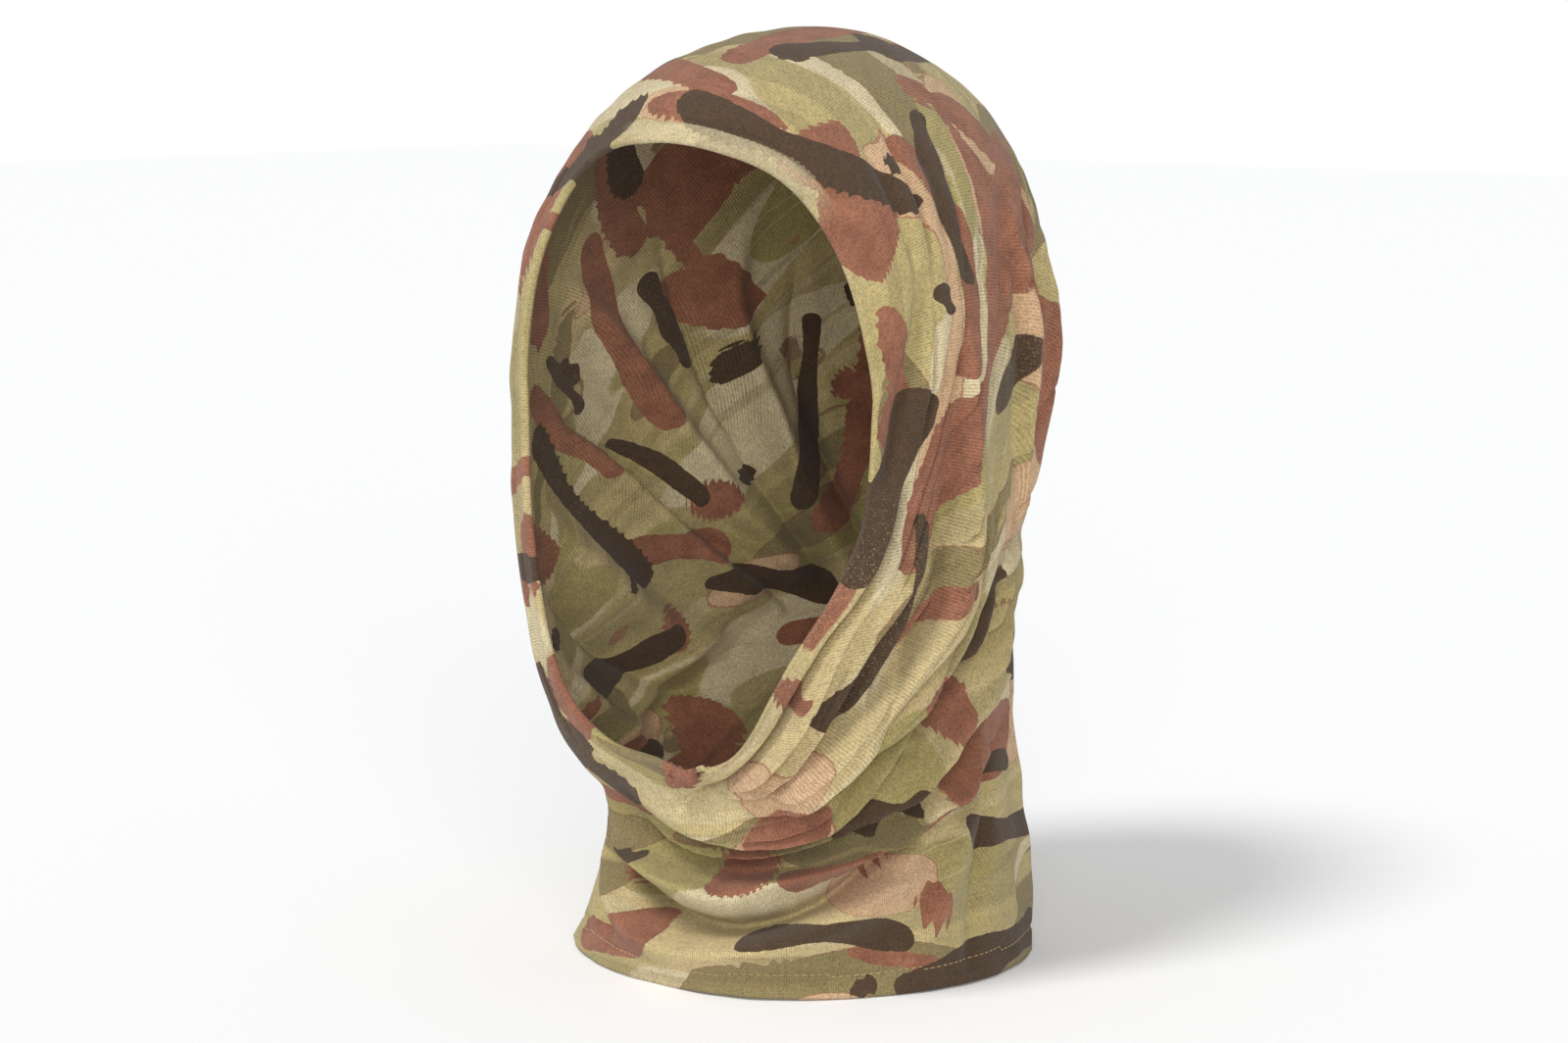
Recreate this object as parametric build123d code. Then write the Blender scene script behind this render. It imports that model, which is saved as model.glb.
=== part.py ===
from build123d import *
import os
from math import cos, radians, sin

# Camouflage face mask: one seamless knitted tube, worn as a hood with the face open, standing on its neck hem.
# Millimetres. +Z is up, the face looks along -Y, and +X is the wearer's left.
# The cloth is one piece. It is cut here into zones that touch face to face, so that each zone is a simple shell.

# Driving dimensions
GATHER = 4.0  # thickness of the space that the gathered cloth fills
HEM_HEIGHT = 8.0  # turned hem at the neck
EDGE_FOLD = 12.0  # folded edge around the face, measured along the hood
CROWN_START = 205.0  # height of the widest level, where the crown begins
CROWN_RISE = 121.0  # from there to the top of the head
CROWN_LEAN = 14.0  # how far the top of the crown sits behind the middle of the head
FACE_TURN = 15.0  # degrees that the opening is turned towards the wearer's left
CROWN_SEAM = 262.0  # height where the crown zone meets the sides and back
BACK_START = 25.0  # how far behind the middle of the head the back zone starts
THREAD = 0.6  # how far a row of stitching stands off the cloth
STITCH_WIDTH = 1.2
FACE_STITCH_INSET = 6.0  # from the face edge to its row of stitching
FACE_STITCH_BOTTOM = 268.0  # the stitched part of the face edge is the stretch over the forehead

# Outline of the head and neck below the crown: height, middle in Y, half width, half depth
LEVELS = [
    (0.0, 12.0, 80.0, 80.0),
    (25.0, 15.0, 76.0, 76.0),
    (52.0, 15.0, 71.0, 73.0),
    (80.0, 1.0, 74.0, 84.0),
    (110.0, -5.0, 78.0, 95.0),
    (145.0, -8.0, 81.0, 102.0),
    (CROWN_START, -2.0, 86.0, 112.0),
]
CROWN_STEPS = [20, 40, 58, 72, 84]  # degrees round the crown's quarter ellipse

# The face edge lies on an arc, seen from the side: distance in front of the head's middle, and height
EDGE_LOW, EDGE_MIDDLE, EDGE_HIGH = (75.0, 55.0), (62.0, 195.0), (74.0, 310.0)

# Lines of folds from the nape round the neck to the chin: Y at the middle of the line, height there, slope
NAPE_FOLD_LINE = (0.0, 107.0, 32.0)
COWL_FOLD_LINE = (0.0, 62.0, 26.0)

FAR = 300.0  # larger than the mask, for cutting


def level(height, middle_y, half_width, half_depth, grow):
    """One level of the outline, grown outwards by grow."""
    ring = Ellipse(half_width + grow, half_depth + grow)
    return Pos(0, middle_y, height) * ring


def body(grow=0.0):
    """Head and neck as one solid form, grown outwards by grow."""
    sections = [level(*row, grow) for row in LEVELS]
    _, middle_y, half_width, half_depth = LEVELS[-1]
    for step in CROWN_STEPS:
        across, up = cos(radians(step)), sin(radians(step))
        height = CROWN_START + (CROWN_RISE + grow) * up
        y = middle_y + CROWN_LEAN * up**2
        ring = Ellipse((half_width + grow) * across, (half_depth + grow) * across)
        sections.append(Pos(0, y, height) * ring)
    return loft(sections)


def in_front_of_edge(set_back=0.0):
    """Everything in front of the face edge's surface, moved back into the hood by set_back."""
    side = Plane((0, 0, 0), x_dir=(0, -1, 0), z_dir=(-1, 0, 0))
    low, middle, high = [(x - set_back, y) for x, y in (EDGE_LOW, EDGE_MIDDLE, EDGE_HIGH)]
    edge = ThreePointArc(low, middle, high)
    outline = Polyline(high, (FAR, high[1]), (FAR, low[1]), low)
    block = extrude(side * make_face([edge, outline]), FAR / 2, both=True)
    return Rot(0, 0, FACE_TURN) * block


def above_line(line):
    """Everything above a sloping line that rises towards the nape."""
    y, height, slope = line
    return Pos(0, y, height) * Rot(slope, 0, 0) * Pos(0, 0, FAR / 2) * Box(2 * FAR, 2 * FAR, FAR)


def slab(low, high):
    """Everything between two heights."""
    return Pos(0, 0, (low + high) / 2) * Box(2 * FAR, 2 * FAR, high - low)


def side_of(x_from, x_to, y_from, y_to):
    """An upright column over a rectangle of the plan."""
    middle = Pos((x_from + x_to) / 2, (y_from + y_to) / 2, 0)
    return middle * Box(x_to - x_from, y_to - y_from, 4 * FAR)


def make_zones():
    """The cloth, as named zones of one open shell."""
    shell = body() - body(-GATHER) - in_front_of_edge()
    edge_fold = shell & in_front_of_edge(EDGE_FOLD)
    cloth = shell - in_front_of_edge(EDGE_FOLD)
    hood = cloth & above_line(NAPE_FOLD_LINE)
    below = cloth - above_line(NAPE_FOLD_LINE)
    crown = hood & slab(CROWN_SEAM, 2 * FAR)
    sides = hood - slab(CROWN_SEAM, 2 * FAR)
    neck = below - above_line(COWL_FOLD_LINE)
    return {
        "crown": crown,
        "hood_left_side": sides & side_of(0, FAR, -FAR, BACK_START),
        "hood_right_side": sides & side_of(-FAR, 0, -FAR, BACK_START),
        "hood_back": sides & side_of(-FAR, FAR, BACK_START, FAR),
        "face_edge_fold": edge_fold,
        "chin_cowl_fold": below & above_line(COWL_FOLD_LINE),
        "neck_tube": neck & slab(HEM_HEIGHT, FAR),
        "neck_hem": neck & slab(-FAR, HEM_HEIGHT),
    }


def neck_hem_stitching():
    """The row of stitching along the top of the neck hem."""
    proud = body(THREAD) - body()
    return proud & slab(HEM_HEIGHT - STITCH_WIDTH, HEM_HEIGHT)


def face_edge_stitching():
    """The row of stitching that holds the edge over the forehead."""
    proud = body(THREAD) - body()
    row = in_front_of_edge(FACE_STITCH_INSET + STITCH_WIDTH) - in_front_of_edge(FACE_STITCH_INSET)
    return proud & row & slab(FACE_STITCH_BOTTOM, FAR + CROWN_RISE)


def main():
    nodes = make_zones()
    nodes["neck_hem_stitching"] = neck_hem_stitching()
    nodes["face_edge_stitching"] = face_edge_stitching()
    box = Compound(children=[Compound(shape.solids()) for shape in nodes.values()]).bounding_box()
    middle = box.center()
    os.makedirs("parts", exist_ok=True)
    for name, shape in nodes.items():
        centred = Pos(-middle.X, -middle.Y, 0) * Compound(shape.solids())
        export_step(centred, f"parts/{name}.step")
    print("size", box.size, "moved by", -middle.X, -middle.Y)


main()
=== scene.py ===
from math import cos, pi, radians, sin

import bpy
import numpy as np
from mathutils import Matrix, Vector


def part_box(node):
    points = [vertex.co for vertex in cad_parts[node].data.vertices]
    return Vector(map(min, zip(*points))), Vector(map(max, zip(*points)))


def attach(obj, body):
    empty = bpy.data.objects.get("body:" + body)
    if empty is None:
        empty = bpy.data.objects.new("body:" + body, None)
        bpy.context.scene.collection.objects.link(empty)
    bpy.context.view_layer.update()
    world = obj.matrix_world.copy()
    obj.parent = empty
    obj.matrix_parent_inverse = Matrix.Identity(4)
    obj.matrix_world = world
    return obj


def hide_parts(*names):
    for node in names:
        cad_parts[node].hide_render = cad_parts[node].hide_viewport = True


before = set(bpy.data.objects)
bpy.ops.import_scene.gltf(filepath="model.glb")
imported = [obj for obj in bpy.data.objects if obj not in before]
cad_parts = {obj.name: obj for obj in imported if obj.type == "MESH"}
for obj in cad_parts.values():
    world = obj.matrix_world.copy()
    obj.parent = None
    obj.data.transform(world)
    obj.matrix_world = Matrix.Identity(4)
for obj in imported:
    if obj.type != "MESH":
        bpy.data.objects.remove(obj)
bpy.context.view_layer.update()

# The cloth is worked out in millimetres, in the frame where the middle of the head is at y = 0, and moved
# into the part's frame at the end. The hem's middle is HEM_MIDDLE_Y behind the middle of the head.
HEM_MIDDLE_Y = 12.0
hem_low, hem_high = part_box("neck_hem")
SHIFT = np.array([0.0, (hem_low.y + hem_high.y) / 2 * 1000 - HEM_MIDDLE_Y, 0.0])

CLOTH = 0.75  # thickness of the knit
HEM_HEIGHT = 8.0  # turned hem at the neck
EDGE_RADIUS = 1.5  # of the roll along the face edge
COLUMNS, ROWS = 480, 330  # of the cloth's grid, round the tube and from hem to face edge
COLUMN_STEP = 1.3  # between the grid's columns, about
ANGLES, HALVINGS = 361, 36  # tried round each loop, and steps in finding where a ray leaves the head
HEM_ROWS, TURNED_ROWS = 8, 35  # of the turned-in hem, and of the cloth turned in behind the face edge
FOREHEAD_BAND = 6.5  # width of the flat band along the face edge over the forehead
STITCHED_FROM, STITCHED_TO = 0.43, 0.555  # where that band is stitched, as shares of the way round
FLAT_ROUND, FLAT_TALL = 0.5, 0.5  # the tube cut open and laid flat, in metres
RIB, COURSE = 0.00080, 0.00078  # pitch of the knit's ribs and courses, in metres of the cloth as knitted

# Outline of the head and neck: height, middle in Y, half width, half depth
LEVELS = np.array([
    (-30.0, 9.0, 84.0, 84.0),
    (0.0, HEM_MIDDLE_Y, 80.0, 80.0),
    (25.0, 15.0, 76.0, 76.0),
    (52.0, 15.0, 71.0, 73.0),
    (80.0, 1.0, 74.0, 84.0),
    (110.0, -5.0, 78.0, 95.0),
    (145.0, -8.0, 81.0, 102.0),
    (205.0, -2.0, 86.0, 112.0),
])
# Above CROWN_START the outline closes within CROWN_RISE and leans back by CROWN_LEAN. A higher fullness makes
# the crown fuller
CROWN_START, CROWN_RISE, CROWN_LEAN, CROWN_FULLNESS = 205.0, 120.0, 14.0, 2.35

# The cloth's loops round the tube, from the hem to the face edge. Each lies in a plane through a point at
# the front: share of the way, the front point's Y and height, and the plane's tilt and turn in degrees
LOOPS = np.array([
    (0.00, -68.0, 0.0, 0.0, 0.0),
    (0.12, -60.0, 34.0, 14.0, 0.0),
    (0.25, -58.0, 56.0, 32.0, 4.0),
    (0.45, -66.0, 64.0, 52.0, 9.0),
    (0.70, -74.0, 69.0, 72.0, 13.0),
    (1.00, -79.0, 73.0, 91.0, 15.0),
    (1.20, -84.0, 79.0, 103.0, 17.0),
    (1.40, -87.0, 87.0, 112.0, 18.0),
])

# Where the face edge cuts those loops: share of the way round from the chin by the wearer's left, share of
# the way up
EDGE = np.array([
    (0.00, 1.08), (0.05, 1.25), (0.11, 1.22), (0.165, 1.10), (0.195, 0.96), (0.235, 0.88), (0.285, 0.882),
    (0.335, 0.915), (0.39, 0.94), (0.44, 0.956), (0.50, 0.972), (0.55, 0.956), (0.60, 0.908), (0.65, 0.875),
    (0.70, 0.885), (0.76, 0.892), (0.82, 0.89), (0.88, 0.88), (0.93, 0.865), (0.965, 0.93), (1.00, 1.08),
])

# Flat bands along the face edge: from and to which share of the way round, width, depth of the groove beside
# the band, and half width of the groove
EDGE_BANDS = [
    (0.0, 0.25, 16.0, 5.5, 1.9),
    (0.42, 0.56, FOREHEAD_BAND, 1.4, 0.9),
    (0.60, 0.96, 9.0, 1.7, 1.3),
]

# How far the hem stands out beyond a round one, by share of the way round from the front by the wearer's left
HEM_FLARE = np.array([
    (0.0, 0.0), (0.08, 1.0), (0.16, 0.0), (0.26, 2.0), (0.4, -1.0), (0.55, 1.0), (0.7, 0.0), (0.8, 3.0),
    (0.88, 4.0), (0.95, 1.5), (1.0, 0.0),
])

# How far the face edge curls inwards
CURL = np.array([
    (0.0, 3.8), (0.12, 2.0), (0.22, 3.0), (0.30, 6.0), (0.38, 6.5), (0.44, 6.5), (0.5, 6.5), (0.56, 6.5),
    (0.62, 6.5), (0.75, 7.5), (0.88, 6.5), (0.95, 4.5), (1.0, 3.8),
])

# How far the cloth is turned in behind the face edge
TURNED_IN = np.array([
    (0.0, 14.0), (0.14, 16.0), (0.24, 14.0), (0.46, 9.0), (0.56, 9.0), (0.7, 12.0), (0.9, 14.0), (1.0, 14.0),
])


def curve(x, xs, ys):
    """A smooth curve through the points (xs, ys)."""
    x = np.clip(x, xs[0], xs[-1])
    gap = np.diff(xs)
    rise = np.diff(ys) / gap
    inner_slope = (rise[:-1] * gap[1:] + rise[1:] * gap[:-1]) / (gap[1:] + gap[:-1])
    slope = np.concatenate([rise[:1], inner_slope, rise[-1:]])
    i = np.clip(np.searchsorted(xs, x, side="right") - 1, 0, len(xs) - 2)
    t = (x - xs[i]) / gap[i]
    ends = (2 * t**3 - 3 * t**2 + 1) * ys[i] + (3 * t**2 - 2 * t**3) * ys[i + 1]
    slopes = (t**3 - 2 * t**2 + t) * slope[i] + (t**3 - t**2) * slope[i + 1]
    return ends + slopes * gap[i]


def outside(p):
    """Above 0 outside the head and neck, below 0 inside, for points p."""
    x, y, z = p[..., 0], p[..., 1], p[..., 2]
    middle, wide, deep = (curve(np.minimum(z, CROWN_START), LEVELS[:, 0], LEVELS[:, k]) for k in (1, 2, 3))
    up = np.clip((z - CROWN_START) / CROWN_RISE, 0, None)
    return np.sqrt((x / wide) ** 2 + ((y - middle - CROWN_LEAN * up**2) / deep) ** 2 + up**CROWN_FULLNESS) - 1


def surface_along(start, direction, low, high):
    """Where rays leave the head and neck, by halving the distance between low and high."""
    low, high = np.full(start.shape[:-1], low), np.full(start.shape[:-1], high)
    for _ in range(HALVINGS):
        middle = (low + high) / 2
        out = outside(start + direction * middle[..., None]) > 0
        low, high = np.where(out, low, middle), np.where(out, middle, high)
    return (low + high) / 2


def loop_points(share, angle):
    """Points of the loops at the given shares of the way up, at the given angles round from the chin."""
    front_y, front_z, tilt, turn = (curve(share, LOOPS[:, 0], LOOPS[:, k]) for k in (1, 2, 3, 4))
    tilt, turn = np.radians(tilt), np.radians(turn)
    back = np.stack([-np.sin(turn) * np.cos(tilt), np.cos(turn) * np.cos(tilt), np.sin(tilt)], -1)
    left = np.stack([np.cos(turn), np.sin(turn), np.zeros_like(turn)], -1)
    front = np.stack([np.zeros_like(front_y), front_y, front_z], -1)
    middle = front + back * (surface_along(front, back, 60.0, 320.0) / 2)[..., None]
    direction = left * np.sin(angle)[..., None] - back * np.cos(angle)[..., None]
    return middle + direction * surface_along(middle, direction, 10.0, 200.0)[..., None]


def base_grid(shares):
    """The loops as a grid with even steps along each loop. shares has a row for each loop."""
    angles = np.linspace(0, 2 * pi, ANGLES)
    ring = np.stack([loop_points(np.full(ANGLES, s), angles) for s in shares.mean(1)])
    step = np.linalg.norm(np.diff(ring, axis=1), axis=2)
    run = np.concatenate([np.zeros((len(shares), 1)), np.cumsum(step, 1)], 1)
    run /= run[:, -1:]
    columns = np.arange(COLUMNS) / COLUMNS
    angle = np.stack([np.interp(columns, row, angles) for row in run])
    return loop_points(shares, angle)


def normals(grid):
    """Outward normals of a grid that is closed round its columns."""
    across = np.roll(grid, -1, 1) - np.roll(grid, 1, 1)
    up = np.gradient(grid, axis=0)
    n = np.cross(across, up)
    return n / np.linalg.norm(n, axis=2, keepdims=True)


def lengths_up(grid):
    """Distance from the hem along each column."""
    step = np.linalg.norm(np.diff(grid, axis=0), axis=2)
    return np.concatenate([np.zeros((1, grid.shape[1])), np.cumsum(step, 0)], 0)


def make_cloth_grid():
    """The smooth cloth, before its folds."""
    columns = np.arange(COLUMNS) / COLUMNS
    edge = curve(columns, EDGE[:, 0], EDGE[:, 1])
    rows = np.linspace(0, 1, ROWS + 1)
    shares = rows[:, None] * (1 + (edge - 1)[None, :] * rows[:, None] ** 2)
    return base_grid(shares)


# Folds. Each runs along a route over the cloth: what it is, its height and half width, how high it is at
# its start and end beside its middle, and its route. An edge is a fold lapped over the cloth on its right,
# going along the route and seen from outside.
OUTER_FOLDS = [
    # Along the face edge on the wearer's left, from the temple to the chin
    ("valley", 4.5, 4.5, 0.0, 0.1, [(82, -22, 252), (83, -30, 222), (82, -35, 200), (79, -38, 184),
        (76, -42, 170)]),
    ("edge", 6.5, 5.0, 0.0, 0.6, [(84, -8, 232), (84, -9, 190), (82, -10, 157), (80, -14, 139),
        (77, -25, 122), (70, -40, 104), (60, -54, 88), (50, -61, 79)]),
    # From the nape forwards, under the jaw
    ("valley", 6.0, 3.5, 0.4, 0.7, [(76, 30, 140), (77, 18, 130), (78, 5, 115), (76, -8, 99), (73, -21, 89),
        (66, -36, 81), (58, -45, 74)]),
    ("valley", 4.0, 4.0, 0.3, 0.0, [(62, 58, 84), (71, 34, 70), (73, 14, 58), (70, -6, 46), (62, -26, 34)]),
    ("valley", 6.0, 2.6, 0.5, 0.2, [(79, 26, 148), (81, 8, 136), (80, -10, 121), (76, -28, 106),
        (68, -42, 93)]),
    ("valley", 7.0, 2.6, 0.6, 0.2, [(77, 34, 134), (78, 18, 117), (77, 2, 102), (74, -16, 86),
        (67, -34, 74)]),
    ("ridge", 4.5, 3.8, 0.3, 0.2, [(77, 36, 120), (78, 20, 104), (77, 4, 90), (74, -14, 74),
        (66, -34, 64)]),
    ("valley", 7.5, 2.8, 0.5, 0.3, [(74, 44, 112), (76, 26, 92), (76, 8, 76), (73, -10, 64),
        (65, -30, 54)]),
    # Under the chin
    ("edge", 7.5, 4.4, 0.2, 0.3, [(-8, -66, 66), (6, -67, 62), (20, -63, 59), (34, -56, 59), (48, -48, 62),
        (60, -38, 69)]),
    ("edge", 6.5, 3.6, 0.1, 0.5, [(-14, -62, 56), (0, -62, 51), (16, -60, 48), (32, -54, 48), (48, -44, 53),
        (62, -30, 62)]),
    ("ridge", 10.5, 5.0, 0.2, 0.1, [(-34, -52, 60), (-24, -56, 50), (-10, -58, 41), (6, -60, 34),
        (22, -58, 31), (38, -50, 32)]),
    ("valley", 9.0, 3.0, 0.3, 0.5, [(-40, -48, 54), (-30, -54, 42), (-16, -60, 31), (2, -62, 24),
        (20, -60, 22), (38, -52, 25), (52, -40, 33), (62, -24, 46), (68, 0, 62)]),
    ("ridge", 8.5, 5.0, 0.1, 0.4, [(10, -62, 40), (28, -56, 37), (44, -46, 40), (58, -30, 48), (68, -6, 62),
        (71, 22, 80)]),
    ("ridge", 6.5, 6.0, 0.3, 0.2, [(-48, -44, 50), (-42, -50, 34), (-28, -58, 22), (-8, -66, 14),
        (16, -64, 12), (36, -56, 15), (54, -42, 24), (66, -20, 38), (72, 8, 56)]),
    ("valley", 5.0, 4.0, 0.4, 0.0, [(-58, -34, 58), (-56, -40, 38), (-46, -52, 20), (-26, -64, 9)]),
    # Down the neck on the wearer's left and at the back
    ("ridge", 3.0, 6.0, 0.0, 0.2, [(70, -18, 8), (72, -8, 24), (74, 6, 44), (74, 18, 66)]),
    ("valley", 3.6, 4.0, 0.2, 0.2, [(76, 2, 4), (76, 12, 24), (74, 24, 48), (70, 38, 74)]),
    ("ridge", 2.6, 7.0, 0.1, 0.1, [(66, 52, 6), (62, 60, 34), (58, 64, 70), (62, 58, 104)]),
    ("valley", 3.0, 5.0, 0.1, 0.1, [(40, 80, 8), (40, 78, 40), (46, 74, 80), (56, 64, 120)]),
    ("edge", 3.6, 4.0, 0.0, 0.3, [(70, 30, 268), (79, 30, 240), (82, 28, 205), (80, 34, 178),
        (76, 40, 160)]),
    ("ridge", 3.6, 4.5, 0.0, 0.3, [(62, 50, 268), (72, 50, 238), (76, 48, 200), (76, 44, 175),
        (74, 42, 160)]),
    ("valley", 3.0, 6.0, 0.5, 0.4, [(-64, 56, 142), (-44, 76, 142), (-12, 90, 146), (20, 88, 150),
        (44, 76, 150), (62, 58, 150), (72, 42, 149), (77, 28, 144)]),
    ("ridge", 3.0, 6.0, 0.0, 0.3, [(-50, 74, 210), (-30, 90, 182), (0, 96, 164), (30, 88, 157),
        (56, 66, 154)]),
    ("valley", 3.0, 4.0, 0.2, 0.3, [(-74, -30, 60), (-76, 0, 76), (-74, 30, 96), (-62, 56, 120),
        (-44, 74, 136)]),
    ("ridge", 3.5, 6.0, 0.2, 0.3, [(-70, -34, 48), (-74, -4, 62), (-72, 28, 80), (-60, 58, 104),
        (-36, 80, 130)]),
    ("valley", 3.0, 5.0, 0.1, 0.3, [(-70, -20, 30), (-72, 10, 44), (-66, 40, 64), (-50, 66, 92),
        (-22, 84, 124)]),
]
INNER_FOLDS = [
    ("ridge", 7.0, 5.5, 0.0, 0.6, [(-62, 60, 262), (-72, 52, 230), (-70, 62, 195), (-60, 72, 165),
        (-47, 78, 140), (-36, 82, 120)]),
    ("valley", 6.0, 3.6, 0.0, 0.7, [(-52, 74, 245), (-58, 74, 210), (-54, 78, 178), (-42, 84, 148),
        (-30, 86, 124)]),
    ("valley", 5.0, 3.8, 0.0, 0.8, [(-78, 20, 255), (-82, 34, 225), (-76, 50, 185), (-60, 66, 145),
        (-44, 76, 120)]),
    ("ridge", 5.0, 5.0, 0.2, 0.6, [(-82, -30, 238), (-86, 2, 215), (-83, 28, 182), (-70, 52, 148),
        (-52, 70, 120)]),
    ("edge", 5.5, 4.0, 0.1, 0.6, [(-80, -40, 190), (-83, -12, 172), (-80, 18, 148), (-70, 44, 126),
        (-54, 64, 108)]),
    ("ridge", 4.5, 8.0, 0.0, 0.3, [(-76, -52, 160), (-80, -24, 135), (-78, 6, 112), (-68, 38, 96),
        (-52, 60, 88)]),
    ("valley", 4.0, 5.0, 0.0, 0.5, [(-70, -56, 135), (-76, -30, 112), (-74, 0, 92), (-64, 30, 78)]),
    ("ridge", 4.0, 6.0, 0.0, 0.2, [(-62, -58, 108), (-68, -36, 88), (-68, -8, 70), (-60, 20, 58)]),
]
# Where the gathers meet, on the wearer's left and at the back to the right
NAPE_LEFT, NAPE_RIGHT = np.array([74.0, 42.0, 150.0]), np.array([-40.0, 80.0, 120.0])
SEED = 7
FOLD_POINTS = 72  # along a fold's route

# Folds lapped over the cloth below them, on the wearer's left. They leave the chin along the loops and
# gather at the nape: height, reach above the lap, and the share of the way up at each share of the way
# round in LAP_COLUMNS.
LAP_COLUMNS = np.array([0.00, 0.08, 0.16, 0.24, 0.31, 0.38])
LAPS = [
    (3.2, 8.0, (0.80, 0.83, 0.83, 0.74, 0.48, 0.36)),
    (3.8, 9.0, (0.70, 0.73, 0.72, 0.60, 0.41, 0.34)),
    (2.8, 6.0, (0.60, 0.62, 0.61, 0.51, 0.37, 0.32)),
    (4.2, 8.0, (0.50, 0.52, 0.50, 0.43, 0.345, 0.31)),
    (3.0, 5.0, (0.43, 0.44, 0.42, 0.37, 0.325, 0.30)),
    (4.4, 9.0, (0.35, 0.36, 0.35, 0.325, 0.305, 0.29)),
    (3.2, 6.0, (0.29, 0.29, 0.285, 0.28, 0.28, 0.28)),
    (3.6, 9.0, (0.22, 0.22, 0.22, 0.235, 0.25, 0.26)),
    (2.4, 7.0, (0.15, 0.15, 0.16, 0.18, 0.21, 0.23)),
]

# How strongly each kind of fold shows
OUTER_STRENGTH, INNER_STRENGTH, LAP_STRENGTH = 1.5, 1.7, 1.3
# Pleats that fan out from the gathers: how many in a full turn, depth, reach, and the first and last angle in
# radians up from the front
FAN_LEFT = (46, 2.2, 150, 0.9, 2.6)
FAN_RIGHT = (34, 2.4, 190, -0.6, 2.2)
# Pleats along the loops on the wearer's left: depth, shortest and longest pitch as shares of the way up, and
# lowest and highest place
LOOP_PLEATS = (2.9, 0.055, 0.13, 84, 320)
# The hollow below the gathers on the wearer's left: its place from them, depth and reach
HOLLOW_PLACE, HOLLOW_DEPTH, HOLLOW_REACH = np.array([4, -4, -28]), 3.0, 38
BAND_CLEAR = (15, 24)  # pleats and laps fade out between these distances from the face edge
# Distances over which the folds calm down and the cloth curls in at the face edge, and the hem flares out
CALM_REACH, CURL_REACH, FLARE_REACH = 7.0, 10.0, 45
HEM_GROOVE, HEM_GROOVE_WIDTH = 0.7, 0.9  # depth and half width of the groove along the hem's stitches


def lap_heights(rng, run):
    """How far the laps lift the cloth outwards. run is the distance up each column."""
    columns = np.arange(COLUMNS) / COLUMNS
    height = np.zeros_like(run)
    for high, reach, shares in LAPS:
        share = curve(columns, LAP_COLUMNS, np.array(shares)) + 0.006 * waves(rng, columns, 4, 0.05, 0.3)
        row = share * ROWS
        below = row.astype(int)
        part = row - below
        here = np.arange(COLUMNS)
        lap = run[below, here] * (1 - part) + run[below + 1, here] * part
        slope = (np.roll(lap, -2) - np.roll(lap, 2)) / (4 * COLUMN_STEP)
        s = (run - lap) / np.sqrt(1 + slope**2)
        last = 0.38 - 0.16 * np.clip((shares[3] - 0.3) / 0.4, 0, 1)
        fade = smooth_steps(columns, 0.02, 0.09) * (1 - smooth_steps(columns, last - 0.09, last))
        strength = high * fade * np.clip(0.85 + 0.45 * waves(rng, columns, 3, 0.08, 0.3), 0.15, 1.5)
        above = np.exp(-((np.clip(s, 0, None) / reach) ** 1.4))
        under = 1.4 * np.exp(-((s / 1.1) ** 2)) - 0.4 * np.exp(-((s / 4.5) ** 2))
        height += strength * np.where(s > 0, above, under)
    return height


def across_fold(kind, s):
    """Height of a fold at s half widths to the right of its route, for a fold of height 1."""
    if kind == "ridge":
        return np.exp(-(s**2))
    if kind == "valley":
        return -1 / (1 + s**2) ** 1.7
    lap = np.exp(-((s / 2.2) ** 2))
    return np.where(s < 0, lap, 1.5 * np.exp(-((s / 0.38) ** 2)) - 0.5 * np.exp(-((s / 2.0) ** 2)))


def even_line(line, reach):
    """Points of a line, each moved to the mean of those within reach of it along the line."""
    count = 2 * reach + 1
    padded = np.pad(line, ((reach, reach), (0, 0)), mode="edge")
    return np.stack([np.convolve(padded[:, k], np.ones(count) / count, "valid") for k in range(3)], 1)


def route_on_cloth(route, cloth, outward):
    """Points along a fold's route over the cloth, and the directions to the right of it."""
    run = np.concatenate([[0], np.cumsum(np.linalg.norm(np.diff(route, axis=0), axis=1))])
    run /= run[-1]
    t = np.linspace(0, 1, FOLD_POINTS)
    line = np.stack([curve(t, run, route[:, k]) for k in range(3)], 1)
    nearest = ((cloth[None] - line[:, None]) ** 2).sum(2).argmin(1)
    line = even_line(cloth[nearest], 5)
    right = np.cross(np.gradient(line, axis=0), outward[nearest])
    right /= np.linalg.norm(right, axis=1, keepdims=True)
    return line, right


def fold_heights(grid, normal, folds):
    """How far the folds lift the cloth outwards."""
    height = np.zeros(grid.shape[:2])
    coarse = grid[::3, ::3].reshape(-1, 3)
    coarse_normal = normal[::3, ::3].reshape(-1, 3)
    t = np.linspace(0, 1, FOLD_POINTS)
    for kind, high, wide, at_start, at_end, route in folds:
        line, right = route_on_cloth(np.array(route, float), coarse, coarse_normal)
        reach = 6 * wide
        near = ((grid > line.min(0) - reach) & (grid < line.max(0) + reach)).all(2)
        p = grid[near]
        away = ((p[:, None] - line[None]) ** 2).sum(2)
        k = away.argmin(1)
        gap = p - line[k]
        side = np.sign((gap * right[k]).sum(1))
        strength = curve(t[k], np.array([0, 0.35, 0.65, 1.0]), np.array([at_start, 1.0, 1.0, at_end]))
        ahead = line[-1] - line[-4]
        behind = line[0] - line[3]
        past = np.where(k == FOLD_POINTS - 1, gap @ ahead / np.linalg.norm(ahead), 0)
        past = np.where(k == 0, gap @ behind / np.linalg.norm(behind), past)
        strength = strength * np.exp(-((np.clip(past, 0, None) / (1.2 * wide)) ** 2))
        height[near] += high * strength * across_fold(kind, side * np.sqrt(away.min(1)) / wide)
    return height


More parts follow.
